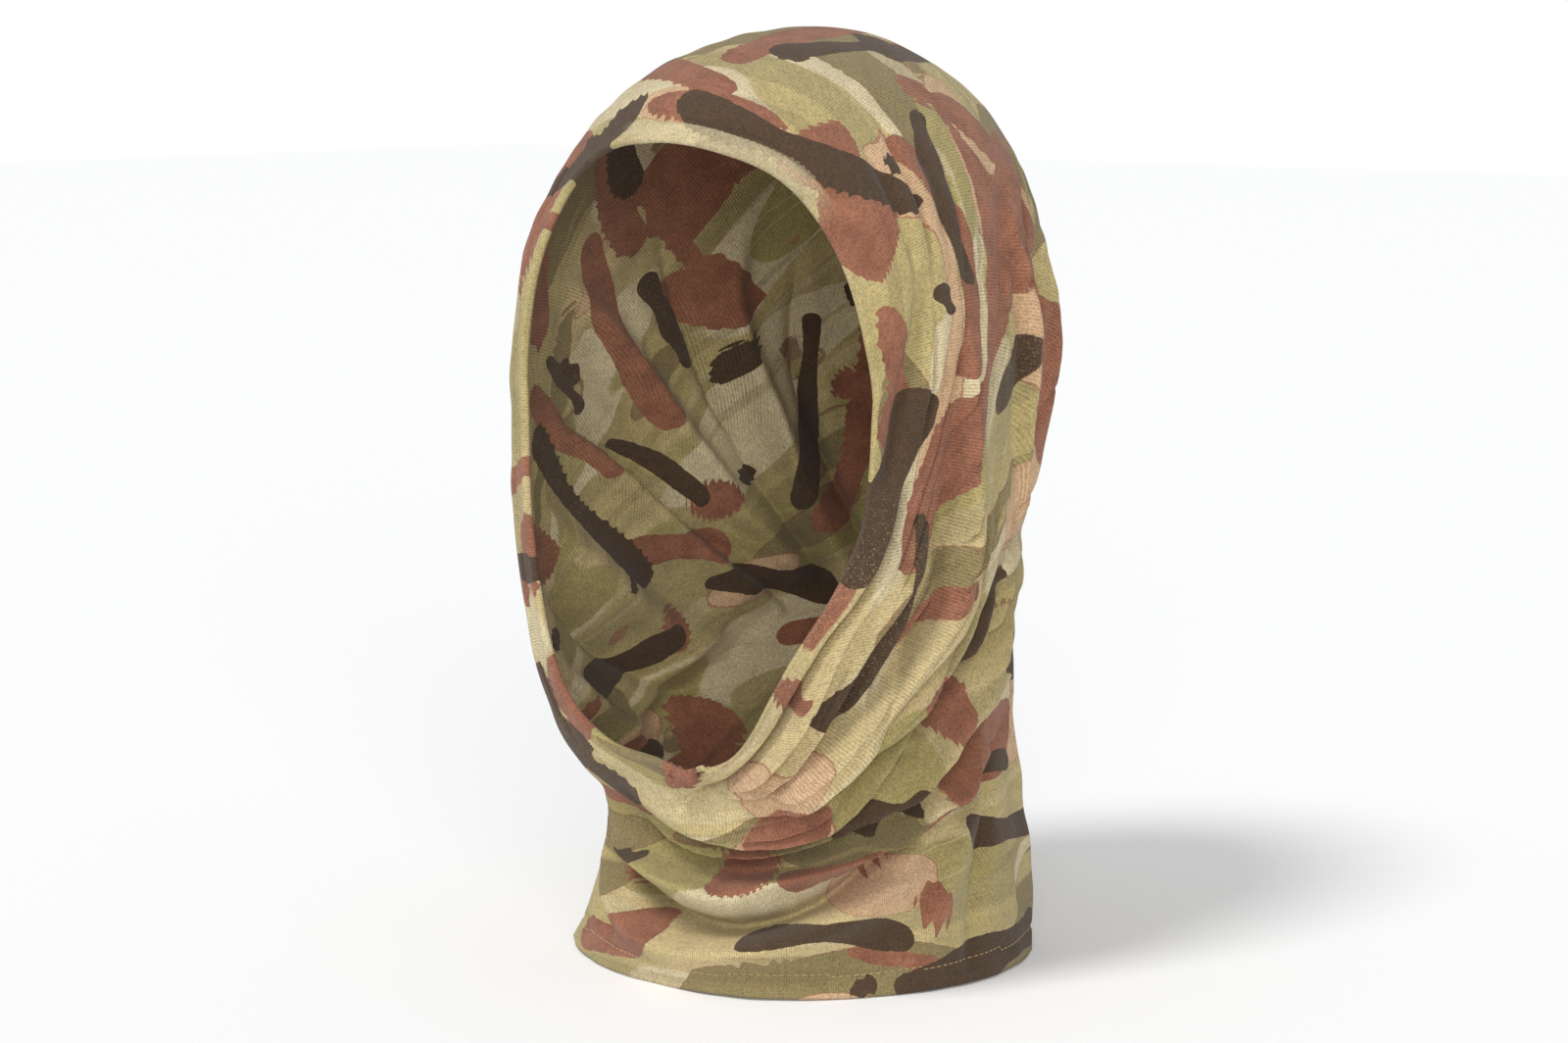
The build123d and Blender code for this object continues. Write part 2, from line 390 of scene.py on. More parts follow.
def even_round(field, reach):
    """The field evened out round the tube, over about the given number of columns."""
    spread = np.exp(-2 * (pi * np.fft.fftfreq(COLUMNS) * reach) ** 2)
    spread = spread.reshape(1, -1, *[1] * (field.ndim - 2))
    return np.fft.ifft(np.fft.fft(field, axis=1) * spread, axis=1).real


def smooth_steps(x, low, high):
    """From 0 where x is low or less to 1 where it is high or more, with soft ends."""
    t = np.clip((x - low) / (high - low), 0, 1)
    return t * t * (3 - 2 * t)


def waves(rng, x, count, shortest, longest):
    """An uneven wave of x, between about -1 and 1."""
    total = np.zeros_like(x)
    for _ in range(count):
        length = shortest * (longest / shortest) ** rng.random()
        total += np.sin(2 * pi * x / length + rng.random() * 2 * pi)
    return total / np.sqrt(count)


def cloudy(rng, p, size, count=14):
    """A smooth uneven field over points p, with lumps of about the given size."""
    total = np.zeros(p.shape[:-1])
    for _ in range(count):
        d = rng.normal(size=3)
        d *= 2 * pi / (size * rng.uniform(0.8, 1.6)) / np.linalg.norm(d)
        total += np.sin(p @ d + rng.random() * 2 * pi)
    return total / np.sqrt(count / 2)


def creases(rng, x, shortest, longest, wide=0.4):
    """1 in the narrow creases of an uneven row of pleats across x, and 0 on the pleats between them."""
    return np.exp(-((waves(rng, x, 4, shortest, longest) / wide) ** 2))


def fan_pleats(rng, grid, nape, side, count, high, far, first, last):
    """Pleats that fan out from a point at the nape over one side of the hood, between two angles from the
    front upwards. count is how many there would be in a full turn."""
    away = grid - nape
    reach = np.linalg.norm(away, axis=2)
    angle = np.arctan2(away[..., 2], -away[..., 1]) + 0.08 * cloudy(rng, grid, 90)
    pleats = creases(rng, angle, 1.3 * 2 * pi / count, 2.6 * 2 * pi / count)
    fade = smooth_steps(reach, 6, 35) * (1 - smooth_steps(reach, 0.5 * far, far))
    fan = smooth_steps(angle, first, first + 0.4) * (1 - smooth_steps(angle, last - 0.4, last))
    on_side = smooth_steps(side * grid[..., 0], 20, 45)
    return -high * pleats * fade * fan * on_side * (0.6 + 0.4 * cloudy(rng, grid, 50))


def loop_pleats(rng, grid, side, high, shortest, longest, low, top):
    """Pleats along the loops over one side of the hood, between two heights."""
    share = np.linspace(0, 1, grid.shape[0])[:, None] + 0.006 * cloudy(rng, grid, 80)
    pleats = creases(rng, share, shortest, longest, 0.3)
    on_side = smooth_steps(side * grid[..., 0], 42, 64)
    z = grid[..., 2]
    fade = smooth_steps(z, low, low + 30) * (1 - smooth_steps(z, top - 60, top))
    return -high * pleats * on_side * fade * np.clip(0.7 + 0.5 * cloudy(rng, grid, 45), 0, 1.5)


def soften(height, times):
    """Height with each point moved towards the mean of its neighbours, times over."""
    for _ in range(times):
        padded = np.pad(height, ((1, 1), (0, 0)), mode="edge")
        mean = (padded[2:] + padded[:-2] + np.roll(height, 1, 1) + np.roll(height, -1, 1)) / 4
        height = 0.5 * height + 0.5 * mean
    return height


def fold_cloth(grid):
    """The cloth with its folds."""
    rng = np.random.default_rng(SEED)
    normal = normals(grid)
    height = OUTER_STRENGTH * fold_heights(grid, normal, OUTER_FOLDS)
    height -= INNER_STRENGTH * fold_heights(grid, normal, INNER_FOLDS)
    from_hollow = grid - NAPE_LEFT - HOLLOW_PLACE
    height -= HOLLOW_DEPTH * np.exp(-((from_hollow**2).sum(2) / HOLLOW_REACH**2))
    height += fan_pleats(rng, grid, NAPE_LEFT, 1, *FAN_LEFT)
    height += fan_pleats(rng, grid, NAPE_RIGHT, -1, *FAN_RIGHT)
    run = lengths_up(grid)
    off_band = smooth_steps(run[-1:] - run, *BAND_CLEAR)
    height += off_band * loop_pleats(rng, grid, 1, *LOOP_PLEATS)
    height += LAP_STRENGTH * off_band * lap_heights(rng, run)
    height += 0.5 * cloudy(rng, grid, 45) + 0.18 * cloudy(rng, grid, 14)
    height = soften(height, 1)
    run = lengths_up(grid)
    to_edge = run[-1:] - run
    columns = np.arange(COLUMNS) / COLUMNS
    calm = np.exp(-((to_edge / CALM_REACH) ** 2))
    height = height * (1 - calm) + 0.5 * even_round(height, 8) * calm
    height -= curve(columns, *CURL.T) * np.exp(-((to_edge / CURL_REACH) ** 2))
    for first, last, band, groove, wide in EDGE_BANDS:
        past_first = (columns - first) % 1
        fade = 1 - smooth_steps(past_first, last - first - 0.03, last - first)
        here = smooth_steps(past_first, 0, 0.05) * fade
        raised = 0.35 * groove * (1 - smooth_steps(to_edge, band - wide, band))
        height += here * (raised - groove * np.exp(-(((to_edge - band) / wide) ** 2)))
    height -= HEM_GROOVE * np.exp(-(((run - HEM_HEIGHT) / HEM_GROOVE_WIDTH) ** 2))
    flare = np.clip(1 - run / FLARE_REACH, 0, 1) ** 2
    height += flare * curve(columns, *HEM_FLARE.T)
    return grid + normal * height[..., None]


def add_edges(grid):
    """The folded cloth with its turned hem below and its turned-in face edge above."""
    normal = even_round(normals(grid), 3)
    normal /= np.linalg.norm(normal, axis=2, keepdims=True)
    run = lengths_up(grid)
    length = run[-1]

    def at(distance):
        """Points and normals at a distance up each column."""
        p, n = np.empty((COLUMNS, 3)), np.empty((COLUMNS, 3))
        for c in range(COLUMNS):
            for k in range(3):
                p[c, k] = np.interp(distance[c], run[:, c], grid[:, c, k])
                n[c, k] = np.interp(distance[c], run[:, c], normal[:, c, k])
        return p, n

    out_of_edge = even_round((grid[-1] - at(length - 4.0)[0])[None], 4)[0]
    out_of_edge /= np.linalg.norm(out_of_edge, axis=1, keepdims=True)
    turn = [grid[-1] + out_of_edge * EDGE_RADIUS * sin(a) - normal[-1] * EDGE_RADIUS * (1 - cos(a))
            for a in np.linspace(0, pi, 9)[1:]]
    depth = curve(np.arange(COLUMNS) / COLUMNS, *TURNED_IN.T)
    inner = []
    for share in np.linspace(0, 1, TURNED_ROWS + 1)[1:]:
        p, n = at(length - depth * share)
        gap = 2 * EDGE_RADIUS + 0.5 * sin(pi * share) * np.ones(COLUMNS)
        inner.append(p - n * gap[:, None])
    hem = []
    gap = 2 * CLOTH
    for height in np.linspace(HEM_HEIGHT, 0.4, HEM_ROWS):
        p, n = at(np.full(COLUMNS, height))
        hem.append(p - n * gap)
    return np.concatenate([np.stack(hem), grid, np.stack(turn), np.stack(inner)])


# The print. Its patches follow the loops of the tube, so they run upwards on the sides of the hood. Each
# field is a number at every vertex, which the material turns into a patch where it is above a limit.
PRINT_JOIN = 0.10  # where the two ends of the print meet, as a share of the way round
TOOTH = 4.6  # pitch of the teeth along some of the print's edges
# Patches: size of the lumps, and how far they are drawn out along the loops
PATCHES = {
    "red": (44, 30), "olive": (46, 30), "ground": (74, 34), "streak": (20, 42), "fine": (10, 60),
    "green": (50, 30), "pale": (40, 34), "pink": (32, 26),
}
# Bars and spots: how many, shortest and longest, narrowest and widest, how unevenly they lean in radians, and
# the distance kept between them
DARK_BARS, DARK_SPOTS = (32, (20, 80), (6, 13), 0.22, 19), (24, (0.5, 6), (4.5, 7.5), 1.5, 34)
RED_BARS, RED_SPOTS = (28, (22, 84), (5, 14), 0.22, 19), (26, (0.5, 4), (8, 13), 1.5, 36)
# Of the bars that are longer each way than TOOTHED_HALF, this share has teeth, and their height
TOOTHED_HALF, TOOTHED_SHARE, BAR_TOOTH = 16, 0.35, 1.3
DRIFT = np.array([90.0, -60.0, 70.0])  # how far the patches shift in one turn, so that the ends don't match


def along_loops(field, reach, grid):
    """The field drawn out along the loops over about the reach, with a mean of 0 and a spread of 1."""
    step = np.linalg.norm(np.roll(grid, -1, 1) - grid, axis=2).mean(1)
    turns = np.fft.fftfreq(field.shape[1])
    spread = np.exp(-2 * (pi * turns[None] * (reach / step)[:, None]) ** 2)
    drawn = np.fft.ifft(np.fft.fft(field, axis=1) * spread, axis=1).real
    return (drawn - drawn.mean()) / drawn.std()


def patches(rng, grid, size, reach):
    """An uneven field with lumps of about the given size, drawn out along the loops."""
    return along_loops(cloudy(rng, grid, size, 40), reach, grid)


def bar_directions(grid, row, column, angle):
    """Unit vectors along and across a bar at a place on the cloth, turned by an angle from the loop there.
    At the back and on the wearer's right the bars are pulled towards the gathers."""
    columns = grid.shape[1]
    place = grid[row, column]
    along = grid[row, (column + 3) % columns] - grid[row, column - 3]
    up = np.cross(along, grid[row + 3, column] - grid[row - 3, column])
    along, up = along / np.linalg.norm(along), up / np.linalg.norm(up)
    to_nape = NAPE_RIGHT - place
    to_nape = to_nape / np.linalg.norm(to_nape)
    pulled = smooth_steps(column / columns, 0.40, 0.50) * (1 - smooth_steps(column / columns, 0.88, 0.96))
    pulled = pulled * smooth_steps(place[2], 90, 130)
    along = (1 - pulled) * along + 1.5 * pulled * to_nape * (1 if along @ to_nape > 0 else -1)
    along = along - up * (along @ up)
    along = along / np.linalg.norm(along)
    across = np.cross(up, along)
    return along * cos(angle) + across * sin(angle), across * cos(angle) - along * sin(angle)


def bar_thickness(rng, x, y, half, thick):
    """Half the width of a bar at x along it. Bars are lumpy, and some long ones have teeth on one side."""
    lumps = 0.22 * np.sin(x / half * rng.uniform(2, 5) + rng.uniform(0, 6))
    lumps = lumps + 0.3 * rng.uniform(-1, 1) * x / half
    thick = thick * (1 + lumps)
    if half > TOOTHED_HALF and rng.random() < TOOTHED_SHARE:
        uneven = x + 1.2 * np.sin(x / 3.1) + 0.9 * np.sin(x / 5.3)
        tooth = BAR_TOOTH * np.clip(np.sin(2 * pi * uneven / TOOTH), 0, None)
        thick = thick + np.where(y > 0, tooth, 0)
    return thick


def bars(rng, grid, count, length, width, lean, apart):
    """Depth inside rounded, lumpy bars scattered over the cloth, which lie nearly along its loops."""
    depth = np.full(grid.shape[:2], -40.0)
    taken = np.empty((0, 3))
    placed = 0
    columns = grid.shape[1]
    step_round = np.linalg.norm(np.roll(grid, -1, 1) - grid, axis=2)
    step_up = np.linalg.norm(np.gradient(grid, axis=0), axis=2)
    area = (step_round * step_up)[4:-4]
    places = rng.choice(area.size, 3000, p=(area / area.sum()).ravel())
    for choice in places:
        if placed >= count:
            break
        row, column = choice // columns + 4, choice % columns
        place = grid[row, column]
        along, across = bar_directions(grid, row, column, rng.normal() * lean)
        half, thick, bend = rng.uniform(*length) / 2, rng.uniform(*width) / 2, rng.uniform(-0.007, 0.007)
        middle = place + along * np.linspace(-half, half, 9)[:, None]
        if len(taken) and np.linalg.norm(middle[:, None] - taken, axis=2).min() < apart:
            continue
        taken = np.concatenate([taken, middle])
        placed += 1
        near = np.linalg.norm(grid - place, axis=2) < half + 25
        gap = grid[near] - place
        x, y = gap @ along, gap @ across
        y = y - bend * x**2
        over = np.clip(np.abs(x) - half, 0, None)
        thick = bar_thickness(rng, x, y, half, thick)
        depth[near] = np.maximum(depth[near], thick - np.hypot(over, y))
    return depth


def print_fields(grid):
    """The fields of the print, and of the painted highlight along the band over the forehead, by name."""
    rng = np.random.default_rng(SEED + 4)
    round_from_join = (np.arange(grid.shape[1]) / grid.shape[1] - PRINT_JOIN) % 1
    p = grid + round_from_join[None, :, None] * DRIFT
    p = p + 3.5 * np.stack([cloudy(rng, grid, 26) for _ in range(3)], -1)
    toothed = np.clip(cloudy(rng, p, 40) - 0.7, 0, 1)
    run = np.cumsum(np.linalg.norm(np.roll(grid, -1, 1) - grid, axis=2), axis=1)
    run = run + 2.2 * cloudy(rng, grid, 22)
    teeth = 0.16 * toothed * np.sin(2 * pi * run / TOOTH)
    dark = bars(rng, grid, *DARK_BARS)
    dark = np.maximum(dark, bars(rng, grid, *DARK_SPOTS))
    red = patches(rng, p, *PATCHES["red"])
    olive = patches(rng, p, *PATCHES["olive"])
    stretched = np.linalg.norm(np.roll(grid, -1, 1) - grid, axis=2) / (1000 * FLAT_ROUND / grid.shape[1])
    to_edge = np.abs(lengths_up(grid) - lengths_up(grid)[HEM_ROWS + ROWS])
    columns = np.arange(grid.shape[1]) / grid.shape[1]
    # Painted highlight: the band over the forehead, which light from above falls on, is made paler
    painted_forehead_highlight = smooth_steps(columns, 0.40, 0.45) * (1 - smooth_steps(columns, 0.54, 0.58))
    painted_forehead_highlight = painted_forehead_highlight * (1 - smooth_steps(to_edge, FOREHEAD_BAND - 1.0, FOREHEAD_BAND))
    return {
        "ground": patches(rng, p, *PATCHES["ground"]),
        "streak": patches(rng, p, *PATCHES["streak"]),
        "fine": patches(rng, p, *PATCHES["fine"]),
        "olive": olive + teeth,
        "green": patches(rng, p, *PATCHES["green"]),
        "pale": patches(rng, p, *PATCHES["pale"]),
        "pink": 0.6 * red + 0.8 * patches(rng, p, *PATCHES["pink"]),
        "red": red + teeth,
        "red_bars": bars(rng, grid, *RED_BARS),
        "stretched": stretched,
        "spots": bars(rng, grid, *RED_SPOTS),
        "dark": dark,
        "painted_forehead_highlight": painted_forehead_highlight,
    }


def colour(red, green, blue):
    """An sRGB colour, with each part above 10 out of 255, as the shader's linear colour."""
    linear = (((c / 255 + 0.055) / 1.055) ** 2.4 for c in (red, green, blue))
    return (*linear, 1.0)


CREAM = colour(202, 187, 150)
TAN = colour(192, 172, 126)
PINK_TAN = colour(196, 162, 126)
OLIVE = colour(178, 161, 110)
OLIVE_GREEN = colour(162, 148, 96)
GREEN_GREY = colour(148, 136, 94)
DARK_OLIVE = colour(136, 121, 82)
RED_BROWN = colour(152, 101, 77)
RED_DARK = colour(132, 86, 65)
DARK_BROWN = colour(78, 60, 43)
THREAD_LIGHT = colour(206, 180, 128)


class Nodes:
    """Short ways to add and join nodes of one material."""

    def __init__(self, name):
        self.material = bpy.data.materials.new(name)
        self.material.use_nodes = True
        self.tree = self.material.node_tree
        self.shader = self.tree.nodes["Principled BSDF"]

    def add(self, kind, **settings):
        node = self.tree.nodes.new(kind)
        for key, value in settings.items():
            setattr(node, key, value)
        return node

    def put(self, socket, value):
        if isinstance(value, bpy.types.NodeSocket):
            self.tree.links.new(value, socket)
        else:
            socket.default_value = value

    def math(self, operation, a, b=0.0, c=0.0):
        node = self.add("ShaderNodeMath", operation=operation)
        for socket, value in zip(node.inputs, (a, b, c)):
            self.put(socket, value)
        return node.outputs[0]

    def mix(self, share, a, b):
        node = self.add("ShaderNodeMix", data_type="RGBA")
        self.put(node.inputs[0], share)
        self.put(node.inputs[6], a)
        self.put(node.inputs[7], b)
        return node.outputs[2]

    def noise(self, place, scale, detail=2.0, rough=0.5):
        node = self.add("ShaderNodeTexNoise")
        self.put(node.inputs["Vector"], place)
        self.put(node.inputs["Scale"], scale)
        self.put(node.inputs["Detail"], detail)
        self.put(node.inputs["Roughness"], rough)
        return node.outputs[0]

    def field(self, name):
        return self.add("ShaderNodeAttribute", attribute_name=name).outputs["Fac"]

    def between(self, value, low, high):
        """From 0 where the value is low to 1 where it is high, with soft ends."""
        node = self.add("ShaderNodeMapRange", interpolation_type="SMOOTHSTEP")
        self.put(node.inputs[0], value)
        self.put(node.inputs[1], low)
        self.put(node.inputs[2], high)
        return node.outputs[0]

    def bump(self, height, strength, distance):
        """Relief on the material's own shader."""
        node = self.add("ShaderNodeBump")
        node.inputs["Strength"].default_value = strength
        node.inputs["Distance"].default_value = distance
        self.put(node.inputs["Height"], height)
        self.put(self.shader.inputs["Normal"], node.outputs[0])


OLIVE_LIMIT, PINK_LIMIT = 0.9, 1.2  # of their fields, above which the cloth has those colours


class Print:
    """The fields of the print as shares of a patch, with uneven edges."""

    def __init__(self, n, spot):
        self.n = n
        ragged = n.math("SUBTRACT", n.noise(spot, 420, 1), 0.5)
        self.wavy = n.math("SUBTRACT", n.noise(spot, 110, 2), 0.5)
        self.edge = n.math("ADD", n.math("MULTIPLY", ragged, 0.08), n.math("MULTIPLY", self.wavy, 0.16))

    def place(self, name, wobble=1.0):
        return self.n.math("ADD", self.n.field(name), self.n.math("MULTIPLY", self.edge, wobble))

    def patch(self, name, limit, soft, wobble=1.0):
        return self.n.between(self.place(name, wobble), limit - soft, limit + soft)

    def outline(self, name, limit, wide=0.03, strength=0.5):
        return self.n.math("MULTIPLY", self.n.math("COMPARE", self.place(name), limit, wide), strength)


def light_ground(n, camo):
    """The light colours of the print, with their fine streaks."""
    ground = n.mix(camo.patch("ground", -0.35, 0.9), TAN, OLIVE)
    ground = n.mix(n.math("MULTIPLY", camo.patch("streak", 0.7, 0.35), 0.5), ground, GREEN_GREY)
    ground = n.mix(camo.patch("pale", 0.55, 0.07), ground, CREAM)
    ground = n.mix(n.math("MULTIPLY", camo.patch("fine", 1.3, 0.2, 0.5), 0.4), ground, DARK_OLIVE)
    ground = n.mix(n.math("MULTIPLY", camo.patch("fine", -1.4, -0.2, 0.5), 0.35), ground, CREAM)
    ground = n.mix(camo.patch("green", 0.8, 0.05), ground, OLIVE_GREEN)
    pale_line = n.math("MULTIPLY", camo.outline("streak", -1.0, 0.10), camo.patch("green", 0.3, 0.3))
    return n.mix(pale_line, ground, CREAM)


def printed_patches(n, camo, ground):
    """The olive, pink, red-brown and dark patches and bars over the light ground."""
    two_olives = n.mix(camo.patch("streak", 1.0, 0.15), DARK_OLIVE, OLIVE)
    ground = n.mix(camo.patch("olive", OLIVE_LIMIT, 0.04), ground, two_olives)
    ground = n.mix(camo.outline("olive", OLIVE_LIMIT, 0.025, 0.6), ground, RED_DARK)
    ground = n.mix(camo.patch("pink", PINK_LIMIT, 0.03), ground, PINK_TAN)
    ground = n.mix(camo.outline("pink", PINK_LIMIT, 0.025, 0.7), ground, RED_BROWN)
    red = n.mix(n.between(camo.wavy, -0.2, 0.3), RED_BROWN, RED_DARK)
    ground = n.mix(camo.patch("red", 1.32, 0.02), ground, red)
    ground = n.mix(camo.patch("red_bars", 0.0, 0.15, 10.0), ground, red)
    ground = n.mix(camo.patch("spots", 0.0, 0.15, 6.0), ground, red)
    return n.mix(camo.patch("dark", 0.0, 0.15, 8.0), ground, DARK_BROWN)


def worn_print_and_painted_highlight(n, spot, ground):
    """The print faded in specks where the cloth is stretched, and paler along the band over the forehead: a
    painted highlight.
    """
    bare = n.between(n.noise(spot, 1500, 1), 0.58, 0.70)
    bare = n.math("MULTIPLY", bare, n.between(n.field("stretched"), 1.3, 1.6))
    ground = n.mix(n.math("MULTIPLY", bare, 0.35), ground, TAN)
    # Painted highlight: the band over the forehead is mixed towards cream
    return n.mix(n.math("MULTIPLY", n.field("painted_forehead_highlight"), 0.6), ground, CREAM)


def knit_grain(n, spot, round_tube, up_tube):
    """Height of the knit's ribs, courses and uneven threads."""
    rib = n.math("SINE", n.math("MULTIPLY", round_tube, 2 * pi / RIB))
    course = n.math("SINE", n.math("MULTIPLY", up_tube, 2 * pi / COURSE))
    ribbing = n.math("MULTIPLY", n.math("MULTIPLY", rib, n.noise(spot, 60, 2)), 0.55)
    knit = n.math("ADD", ribbing, n.math("MULTIPLY", course, 0.18))
    mottle = n.math("SUBTRACT", n.noise(spot, 1100, 2, 0.65), 0.5)
    return n.math("ADD", mottle, n.math("MULTIPLY", knit, 0.42))


def knit_tone(n, spot, round_tube, up_tube, grain):
    """How much lighter or darker the cloth is than its print, around 0."""
    cloud = n.math("SUBTRACT", n.noise(spot, 160, 3, 0.6), 0.5)
    strands = n.add("ShaderNodeCombineXYZ")
    n.put(strands.inputs[0], n.math("MULTIPLY", round_tube, 0.06))
    n.put(strands.inputs[1], up_tube)
    strand = n.math("SUBTRACT", n.noise(strands.outputs[0], 420, 2), 0.5)
    tone = n.math("ADD", n.math("MULTIPLY", grain, 1.25), n.math("MULTIPLY", cloud, 0.3))
    return n.math("ADD", tone, n.math("MULTIPLY", strand, 0.30))


def camo_knit():
    """A fine single knit with a woodland print, faded where the cloth is stretched."""
    n = Nodes("camo_knit")
    uv = n.add("ShaderNodeSeparateXYZ")
    n.put(uv.inputs[0], n.add("ShaderNodeUVMap", uv_map="cloth").outputs[0])
    round_tube, up_tube = uv.outputs[0], uv.outputs[1]
    spot = n.add("ShaderNodeTexCoord").outputs["Object"]
    camo = Print(n, spot)
    ground = worn_print_and_painted_highlight(n, spot, printed_patches(n, camo, light_ground(n, camo)))
    grain = knit_grain(n, spot, round_tube, up_tube)
    tone = knit_tone(n, spot, round_tube, up_tube, grain)
    shade = n.add("ShaderNodeHueSaturation")
    n.put(shade.inputs["Color"], ground)
    n.put(shade.inputs["Value"], n.math("ADD", tone, 1.0))
    n.put(n.shader.inputs["Base Color"], shade.outputs[0])
    n.shader.inputs["Roughness"].default_value = 0.92
    n.shader.inputs["Sheen Weight"].default_value = 0.12
    n.shader.inputs["Sheen Roughness"].default_value = 0.6
    n.shader.inputs["Specular IOR Level"].default_value = 0.2
    n.bump(grain, 0.8, 0.0005)
    return n.material


def thread(name, tint):
    """A fine twisted sewing thread."""
    n = Nodes(name)
    spot = n.add("ShaderNodeTexCoord").outputs["Object"]
    fibre = n.noise(spot, 2500, 2, 0.6)
    n.put(n.shader.inputs["Base Color"], n.mix(fibre, tint, THREAD_LIGHT))
    n.shader.inputs["Roughness"].default_value = 0.7
    n.shader.inputs["Sheen Weight"].default_value = 0.2
    n.bump(fibre, 0.5, 0.0002)
    return n.material


def stitch_row(name, node, line, out, long, gap, thick, tint):
    """A row of short stitches along a line over the cloth, whose outward direction along the line is out."""
    run = np.concatenate([[0], np.cumsum(np.linalg.norm(np.diff(line, axis=0), axis=1))])
    points, faces = [], []
    rings, sides = 7, 6
    for start in np.arange(gap, run[-1] - long - gap, long + gap):
        where = start + long * np.linspace(0, 1, rings)
        middle = np.stack([np.interp(where, run, line[:, k]) for k in range(3)], 1)
        up = np.stack([np.interp(where, run, out[:, k]) for k in range(3)], 1)
        ahead = middle[-1] - middle[0]
        across = np.cross(up, ahead / np.linalg.norm(ahead))
        arch = np.sin(np.linspace(0, pi, rings))
        middle = middle + up * (0.75 * thick * arch - 0.25 * thick)[:, None]
        first = len(points)
        for k in range(rings):
            radius = thick / 2 * (0.45 + 0.55 * arch[k] ** 0.5)
            for a in np.arange(sides) * 2 * pi / sides:
                points.append(middle[k] + radius * (cos(a) * across[k] + sin(a) * up[k]))
        for k in range(rings - 1):
            for a in range(sides):
                b = (a + 1) % sides
                low, high = first + k * sides, first + (k + 1) * sides
                faces.append([low + a, low + b, high + b, high + a])
        faces.append([first + a for a in reversed(range(sides))])
        faces.append([first + (rings - 1) * sides + a for a in range(sides)])
    obj = mesh_object(name, (np.array(points) + SHIFT) / 1000, faces)
    obj.data.materials.append(thread(name, tint))
    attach(obj, "root")
    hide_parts(node)
    return obj


def mesh_object(name, points, faces):
    """A smooth-shaded mesh object in the scene."""
    mesh = bpy.data.meshes.new(name)
    mesh.from_pydata(points.tolist(), [], [list(face) for face in faces])
    mesh.shade_smooth()
    mesh.update()
    obj = bpy.data.objects.new(name, mesh)
    bpy.context.scene.collection.objects.link(obj)
    return obj


def grid_faces(rows, columns):
    """Quads of a grid that is closed round its columns."""
    row, column = np.meshgrid(np.arange(rows - 1), np.arange(columns), indexing="ij")
    right = (column + 1) % columns
    quads = np.stack([row * columns + column, row * columns + right, (row + 1) * columns + right,
                      (row + 1) * columns + column], -1)
    return quads.reshape(-1, 4)


def cloth_coordinates(mesh, up):
    """The mesh's UV map: metres round the tube as knitted, and metres up from the hem's turned-in end."""
    rows, columns = up.shape
    row, column = np.meshgrid(np.arange(rows - 1), np.arange(columns), indexing="ij")
    corners = np.stack([
        np.stack([column, up[row, column]], -1),
        np.stack([column + 1, up[row, (column + 1) % columns]], -1),
        np.stack([column + 1, up[row + 1, (column + 1) % columns]], -1),
        np.stack([column, up[row + 1, column]], -1),
    ], 2).astype(float)
    corners[..., 0] *= FLAT_ROUND / columns
    corners[..., 1] /= 1000
    mesh.uv_layers.new(name="cloth").data.foreach_set("uv", corners.ravel())


def knitted_tube(smooth, folded):
    """The whole mask: one tube of cloth."""
    grid, base = add_edges(folded), add_edges(smooth)
    points = (grid + SHIFT) / 1000
    cloth = mesh_object("knitted_tube", points.reshape(-1, 3), grid_faces(*grid.shape[:2]).tolist())
    cloth_coordinates(cloth.data, lengths_up(grid))
    for name, field in print_fields(base).items():
        cloth.data.attributes.new(name, "FLOAT", "POINT").data.foreach_set("value", field.ravel())
    thick = cloth.modifiers.new("thickness", "SOLIDIFY")
    thick.thickness = CLOTH / 1000
    thick.offset = -1
    bpy.context.view_layer.objects.active = cloth
    bpy.ops.object.modifier_apply(modifier="thickness")
    cloth.data.materials.append(camo_knit())
    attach(cloth, "root")
    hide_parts(*(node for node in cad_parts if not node.endswith("stitching")))


def hem_stitches(folded):
    """The row of stitches that holds the turned hem."""
    normal, run = normals(folded), lengths_up(folded)
    row = np.abs(run - HEM_HEIGHT).argmin(0)
    columns = np.append(np.arange(COLUMNS), 0)
    line, out = folded[row[columns], columns], normal[row[columns], columns]
    stitch_row("neck_hem_stitches", "neck_hem_stitching", line, out, long=1.9, gap=0.7, thick=0.36,
               tint=colour(168, 140, 88))


def forehead_stitches(folded):
    """The row of stitches along the band over the forehead."""
    normal, run = normals(folded), lengths_up(folded)
    row = np.abs(run[-1] - run - FOREHEAD_BAND).argmin(0)
    columns = np.arange(int(STITCHED_FROM * COLUMNS), int(STITCHED_TO * COLUMNS))
    line, out = folded[row[columns], columns], normal[row[columns], columns]
    stitch_row("face_edge_stitches", "face_edge_stitching", line, out, long=1.6, gap=0.8, thick=0.26,
               tint=colour(150, 134, 92))


AMBIENT = 0.43  # strength of the light from all round
AZIMUTH, ELEVATION, DISTANCE = 40.0, 8.0, 1.25  # of the camera: degrees and metres
AIM_HEIGHT, AIM_LEFT = 0.1532, 0.0007  # the point it looks at: height, and how far left in view, in metres
LENS, SENSOR_WIDTH = 81.5625, 36  # in mm
# Lamps: azimuth and elevation they shine from and how wide they are, in degrees, and strength
LAMPS = {"key": (-10, 56, 16, 1.5), "fill": (44, 18, 36, 1.3)}


def pale_floor():
    """A pale floor just under the hem."""
    bpy.ops.mesh.primitive_plane_add(size=12, location=(0, 0, -0.0005))
    floor = bpy.context.object
    floor.name = "floor"
    n = Nodes("floor_white")
    n.shader.inputs["Base Color"].default_value = (0.97, 0.97, 0.97, 1)
    n.shader.inputs["Roughness"].default_value = 0.8
    n.shader.inputs["Specular IOR Level"].default_value = 0.1
    n.shader.inputs["Emission Color"].default_value = (1, 1, 1, 1)
    n.shader.inputs["Emission Strength"].default_value = 0.08
    floor.data.materials.append(n.material)


